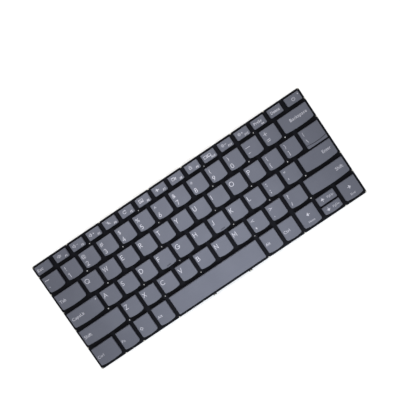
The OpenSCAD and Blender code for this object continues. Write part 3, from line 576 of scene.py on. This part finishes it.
modifier_legends = {
    "backspace": bolder(
        word("Backspace", modifier_keys["backspace"][2] - 3.1, 7.2, 2.75, "right", width=17.2), 0.04),
    "tab": bolder(word("Tab", 1.7, 7.2, 2.75, width=5.9), 0.04),
    "caps_lock": bolder(word("CapsLk", 1.7, 7.5, 2.6, width=12.6), 0.04),
    "left_shift": bolder(word("Shift", 1.7, 7.0, 2.9), 0.04),
    "right_shift": bolder(word("Shift", modifier_keys["right_shift"][2] - 3.1, 7.0, 2.9, "right"), 0.04),
    "left_ctrl": [word("Ctrl", 1.3, 9.4, 2.5, width=6.1)],
    "fn": [word("Fn", 1.3, 9.4, 2.5)],
    "system": [picture("square", 3.2, 9.3)],
    "left_alt": [word("Alt", 1.4, 9.4, 2.5)],
    "right_alt": [word("Alt", 1.4, 9.4, 2.5)],
    "right_ctrl": [word("Ctrl", 1.3, 9.4, 2.5, width=6.1)],
    "left": [picture("arrow", 9.0, 7.3), word("Home", 9.1, 13.7, 1.9, "middle", width=6.4)],
    "up": [picture("arrow", 5.0, 3.9, -90), word("PgUp", 12.7, 4.2, 1.9, "middle", width=6.2)],
    "down": [picture("arrow", 5.0, 3.9, 90), word("PgDn", 12.7, 4.3, 1.9, "middle", width=6.2)],
    "right": [picture("arrow", 9.0, 7.3, 180), word("End", 9.0, 13.8, 1.9, "middle", width=4.6)],
}
LIGHT_R = 0.55
light_places = {"power": (13.3, 2.1), "caps_lock": (29.3, 2.5)}


def on_cap(shapes, key, lift=INK_LIFT):
    """Flat shapes laid on a key's top, or below it by a negative lift, facing up.

    In the hollow of a narrow key the height follows an arc across the key, and past its rim it stays level.
    Each shape lies a step above the one before, so that none shares its plane where two cross.
    """
    left, back, width, depth = key
    flat, faces = joined(shapes)
    x = flat[:, 0] - width / 2
    height = np.full(len(x), KEY_TOP)
    order = np.repeat(np.arange(len(shapes)), [len(points) for points, _ in shapes])
    if width <= DISHED_W:
        across = width - 2 * DISH_IN
        radius = across * across / (8 * DISH) + DISH / 2
        height = np.minimum(height, KEY_TOP - DISH + radius - np.sqrt(radius * radius - x * x))
    upside_down = twice_area(flat, faces) < 0
    faces = np.where(upside_down[:, None], faces[:, ::-1], faces)
    height += lift + INK_STEP * order
    return np.column_stack([flat[:, 0] + left - PLATE_W / 2, flat[:, 1] + BACK_Y - back, height]), faces


for name, shapes in legends.items():
    points, faces = on_cap(shapes, moving_keys[name])
    new_piece(f"legend_{name}", points, faces, legend_ink, f"key_{name}", "keycap_plastic")
for group, prints, keys in (("function", function_legends, function_keys),
                            ("modifier", modifier_legends, modifier_keys)):
    sheet = joined([on_cap(shapes, keys[name]) for name, shapes in prints.items()])
    new_piece(f"legends_of_{group}_keys", *sheet, legend_ink, "chassis", "keycap_plastic")
lights = joined([on_cap([disc(x, -y, LIGHT_R)], (function_keys | modifier_keys)[name])
                 for name, (x, y) in light_places.items()])
new_piece("indicator_lights", *lights, light_guide, "chassis", "keycap_plastic")


# The bottom of the seam across the deep key, where a dark strip of painted shade lies: an arc of the radius
# that a key's bowed front edge has
seam_r = (BACKSLASH_W ** 2 / 4 + FRONT_BOW ** 2) / (2 * FRONT_BOW)
seam_path = arc(BACKSLASH_W / 2, seam_r - KEY_W, seam_r - SEAM_W / 2, 270 - SEAM_TURN, 270 + SEAM_TURN, 40)
seam_sheet = on_cap([line(seam_path, SEAM_W - 2 * HAIR)], moving_keys["backslash"], HAIR - SEAM_DEPTH)
new_piece("seam_shade_of_backslash", *seam_sheet, seam_shade_abs, "key_backslash", "keycap_plastic")


# Trim of the plate and the film
def ring(x, y, inner, outer, steps=24):
    """A flat ring: the band between two circles round one point."""
    j = np.arange(steps + 1) % steps
    circles = [arc(x, y, r, 0, 360 - 360 / steps, steps) for r in (inner, outer)]
    return np.vstack(circles), band(j, j + steps)


def hole_row(x, gaps, row):
    """Places of the mounting holes in the gaps between a row's keys, from the plate's back left corner."""
    return [(x + gap * PITCH - KEY_GAP / 2, row_y(row) + KEY_W + HOLE_DROP) for gap in gaps]


def function_gap_x(i):
    """Middle of the gap before the function row's key i, counted from 0 after Escape."""
    return FUNCTION_X + i * FUNCTION_STEP - FUNCTION_GAP / 2


# The film's edge round the mounting holes, drawn in closer than the CAD's
FUNCTION_EYE_R = 0.4
EYE_R = 0.51
COLLAR_R = 0.85
FUNCTION_HOLES = [(function_gap_x(i), row_y(0) + FUNCTION_D + FUNCTION_HOLE_DROP) for i in (2, 5, 9, 12)]
MOUNT_HOLES = [*hole_row(NUMBER_X, (1, 3, 5, 8, 10, 12), 1), *hole_row(Q_X, (1, 4, 7, 9, 11), 2),
               *hole_row(A_X, (0, 2, 4, 7, 9, 11), 3), *hole_row(Z_X, (0, 2, 4, 7), 4),
               (RIGHT_SHIFT_X - KEY_GAP / 2, row_y(4) + KEY_W + HOLE_DROP)]
eyes = [(*hole, FUNCTION_EYE_R) for hole in FUNCTION_HOLES] + [(*hole, EYE_R) for hole in MOUNT_HOLES]
flat, faces = joined([ring(x - PLATE_W / 2, BACK_Y - y, inner, COLLAR_R) for x, y, inner in eyes])
new_piece("film_collars", at_height(flat, FILM_Z + SHEET_LIFT), faces, black_film, "chassis", "film_black")


def prism(loop, across, low, high):
    """A thickened flat shape: its anticlockwise outline at two heights, triangles across it and walls."""
    n = len(loop)
    j = np.arange(n + 1) % n
    walls = band(j, j + n)[:, ::-1]
    points = np.vstack([at_height(loop, low), at_height(loop, high)])
    return points, np.vstack([across[:, ::-1], across + n, walls])


# A second ear like the CAD's, farther right: a steel tab, and the film's bridge round a half-round bite
ear_x, ear_y = RIGHT_EAR_X - PLATE_W / 2, -BACK_Y
half = EAR_W / 2
root = EAR_OUT + HAIR
tab, fan = convex((-half, EAR_CUT), (EAR_CUT - half, 0), (half - EAR_CUT, 0), (half, EAR_CUT), (half, root),
                  (-half, root))
new_piece("right_ear", *prism(tab + (ear_x, ear_y), fan, 0, PLATE_T), zinc_steel, "chassis", "plate_steel")
bite = arc(0, 0, NOTCH_R, 165, 15, 16)
rays = bite / np.linalg.norm(bite, axis=1, keepdims=True)
rim = rays * np.minimum((half - FILM_INSET) / np.abs(rays[:, :1]), (EAR_OUT + FILM_INSET) / rays[:, 1:])
i = np.arange(len(bite))
across = band(i, 2 * len(bite) - 1 - i)[:, ::-1]
bridge = np.vstack([bite, rim[::-1]]) + (ear_x, ear_y)
new_piece("right_ear_film", *prism(bridge, across, FILM_Z - FILM_T, FILM_Z), black_film,
          "chassis", "film_black")


# Lands of the plate that the film's notches bare: half discs, and a disc's share of each rounded corner
FRONT_LAND = convex(*arc(0, HAIR, NOTCH_R, 0, 180, 14))
CORNER_LAND = convex(*arc(0, 0, CORNER_CUT, 1, 89, 12),
                     *arc(CORNER_R, CORNER_R, CORNER_R - HAIR, 180, 270, 8))
side_y = [row_y(n) + (FUNCTION_D if n == 0 else KEY_W) + HOLE_DROP for n in range(5)]
front_x = [x - KEY_GAP / 2 for x in (FN_X, FN_X + PITCH, SPACE_X, RIGHT_ALT_X, LEFT_ARROW_X)]
# Each land's shape, its turn in degrees and its place from the plate's back left corner
lands = [*[(FRONT_LAND, 180, function_gap_x(i), 0) for i in (1, 3, 6, 8, 11, 13)],
         *[(FRONT_LAND, 270, 0, y) for y in side_y],
         *[(FRONT_LAND, 90, PLATE_W, side_y[n]) for n in (0, 1, 3, 4)],
         *[(FRONT_LAND, 0, x, PLATE_D) for x in (*front_x, RIGHT_X - ARROW_W - ARROW_GAP / 2)],
         *[(FRONT_LAND, 0, x, PLATE_D + EAR_OUT) for x in (LEFT_EAR_X, RIGHT_EAR_X)],
         (CORNER_LAND, 0, 0, PLATE_D), (CORNER_LAND, 90, PLATE_W, PLATE_D), (CORNER_LAND, 180, PLATE_W, 0),
         (CORNER_LAND, 270, 0, 0)]
flat, faces = joined([(turned(points, turn) + (x - PLATE_W / 2, BACK_Y - y), triangles)
                      for (points, triangles), turn, x, y in lands])
new_piece("bared_lands", at_height(flat, PLATE_T + SHEET_LIFT), faces, pale_zinc,
          "chassis", "plate_steel")


# Lifts: the domes and links under each key, cut out of the CAD's own meshes
SHARP_FROM = math.radians(32)


def merged(node):
    """A CAD node's points in millimetres, equal ones made one, and its triangles without the empty ones."""
    points, faces = mesh_arrays(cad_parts[node].data)
    points = points / MM
    rounded = np.round(points * 1e4).astype(np.int64)
    _, first, same = np.unique(rounded, axis=0, return_index=True, return_inverse=True)
    faces = same.reshape(-1)[faces]
    whole = (faces[:, 0] != faces[:, 1]) & (faces[:, 1] != faces[:, 2]) & (faces[:, 2] != faces[:, 0])
    return points[first], faces[whole]


def part_of(shape, chosen):
    """The chosen triangles of a shape, with only the points that they use."""
    used, faces = np.unique(shape[1][chosen], return_inverse=True)
    return shape[0][used], faces.reshape(-1, 3)


def is_under(key, middles):
    """Whether each point lies within a key's outline, seen from above."""
    left, back, width, depth = key
    x, y = middles[:, 0] + PLATE_W / 2 - left, BACK_Y - back - middles[:, 1]
    return (x > 0) & (x < width) & (y > 0) & (y < depth)


def lift_pieces(title, shape, material, slot, nodes):
    """Cuts a shape into a rest and a piece for each moving key."""
    middles = shape[0][shape[1]].mean(axis=1)
    others = np.ones(len(middles), bool)
    for name, key in moving_keys.items():
        chosen = is_under(key, middles)
        others &= ~chosen
        piece = new_piece(f"{title}_{name}", *part_of(shape, chosen), material, "chassis", slot)
        piece.data.set_sharp_from_angle(angle=SHARP_FROM)
        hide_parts(*nodes)
        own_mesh(piece)
    rest = new_piece(f"{title}s_of_other_keys", *part_of(shape, others), material, "chassis", slot)
    rest.data.set_sharp_from_angle(angle=SHARP_FROM)
    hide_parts(*nodes)


lift_pieces("dome", merged("rubber_domes"), milky_silicone, "dome_rubber", ["rubber_domes"])
lift_pieces("scissor", joined([merged("outer_links"), merged("inner_links")]), link_acetal, "link_plastic",
            ["outer_links", "inner_links"])


# Table, light and camera
def light_path_share(tree):
    """One where the camera looks, straight or by way of a mirror or a clear part, and nothing elsewhere."""
    rays = add_node(tree, "LightPath", {})
    seen = rays["Is Camera Ray"]
    for kind in ("Is Glossy Ray", "Is Transmission Ray"):
        seen = add_node(tree, "Math", {0: seen, 1: rays[kind]}, operation="MAXIMUM")[0]
    return seen


# The table's own light: its middle and its reach in metres, and its strength at each
GLOW_MIDDLE = (0.0, -0.02, 0.0)
GLOW_REACH = 0.2
GLOW_LEAST = 0.1
GLOW_MOST = 0.75


def white_table():
    """Matt white laminate that keeps the part's soft shadow.

    Light of its own, which rises with the distance from a middle, makes it read as white all over.
    """
    material = bpy.data.materials.new("matt_white_laminate")
    material.use_nodes = True
    tree = material.node_tree
    tree.nodes.remove(tree.nodes["Principled BSDF"])
    place = add_node(tree, "TexCoord", {})["Object"]
    away = add_node(tree, "VectorMath", {0: place, 1: GLOW_MIDDLE}, operation="DISTANCE")["Value"]
    fill = add_node(tree, "MapRange", {"Value": away, "From Max": GLOW_REACH, "To Min": GLOW_LEAST,
                                       "To Max": GLOW_MOST})["Result"]
    own = add_node(tree, "Math", {0: light_path_share(tree), 1: fill}, operation="MULTIPLY")[0]
    lit = add_node(tree, "BsdfDiffuse", {"Color": linear("#f6f6f6")})[0]
    glow = add_node(tree, "Emission", {"Color": linear("#ffffff"), "Strength": own})[0]
    both = add_node(tree, "AddShader", {0: lit, 1: glow})[0]
    tree.links.new(both, tree.nodes["Material Output"].inputs["Surface"])
    return material


BOX_SIDE = 0.2
BOX_SPREAD = math.radians(26.4)


def gridded_box(name, place, aim, power, colour):
    """A soft box with a grid, whose light fades towards the part's ends.

    It stands at a place in metres and faces a point: its own z axis runs from that point to the lamp.
    """
    lamp = bpy.data.lights.new(name, "AREA")
    lamp.size = BOX_SIDE
    lamp.spread = BOX_SPREAD
    lamp.energy = power
    lamp.color = linear(colour)[:3]
    holder = bpy.data.objects.new(name, lamp)
    away = np.subtract(place, aim)
    away /= np.linalg.norm(away)
    side = np.cross((0, 1, 0), away)
    side /= np.linalg.norm(side)
    axes = np.column_stack([side, np.cross(away, side), away, place])
    holder.matrix_world = Matrix([*axes.tolist(), (0, 0, 0, 1)])
    bpy.context.scene.collection.objects.link(holder)


# The table turns up into a low wall far off, which stays behind the part in views from near the floor
TABLE_REACH = 12000
TABLE_Z = -0.05
WALL_Z = 3000
square = TABLE_REACH * np.array([(-1, -1), (1, -1), (1, 1), (-1, 1)])
table = new_piece("table", np.vstack([at_height(square, z) for z in (TABLE_Z, WALL_Z)]),
                  [(0, 1, 2, 3), (0, 4, 5, 1), (1, 5, 6, 2), (2, 6, 7, 3), (3, 7, 4, 0)], white_table())

world = bpy.data.worlds.new("pale_studio")
bpy.context.scene.world = world
world.use_nodes = True
sky = world.node_tree
sky.nodes["Background"].inputs["Strength"].default_value = 0.36
sky.nodes["Background"].inputs["Color"].default_value = linear("#ffffff")
gridded_box("front_box", (-0.02, -0.5, 0.6), (0.0, -0.055, 0.0), 0.084, "#eff7ff")
gridded_box("back_box", (-0.02, 0.5, 0.6), (0.0, 0.03, 0.0), 0.065, "#fffaf4")

# The camera stands where the grid of keys and the plate's corners put the one that took the photograph
camera = bpy.data.cameras.new("camera")
camera.sensor_width = 36.0
camera.lens = 82.23
viewer = bpy.data.objects.new("camera", camera)
viewer.matrix_world = Matrix(((0.82858, 0.55916, 0.02830, 0.037915),
                              (-0.55966, 0.82579, 0.06959, 0.077613),
                              (0.01554, -0.07350, 0.99717, 0.799915),
                              (0, 0, 0, 1)))
bpy.context.scene.collection.objects.link(viewer)
bpy.context.scene.camera = viewer
bpy.context.scene.view_settings.view_transform = "Standard"

bpy.context.view_layer.update()
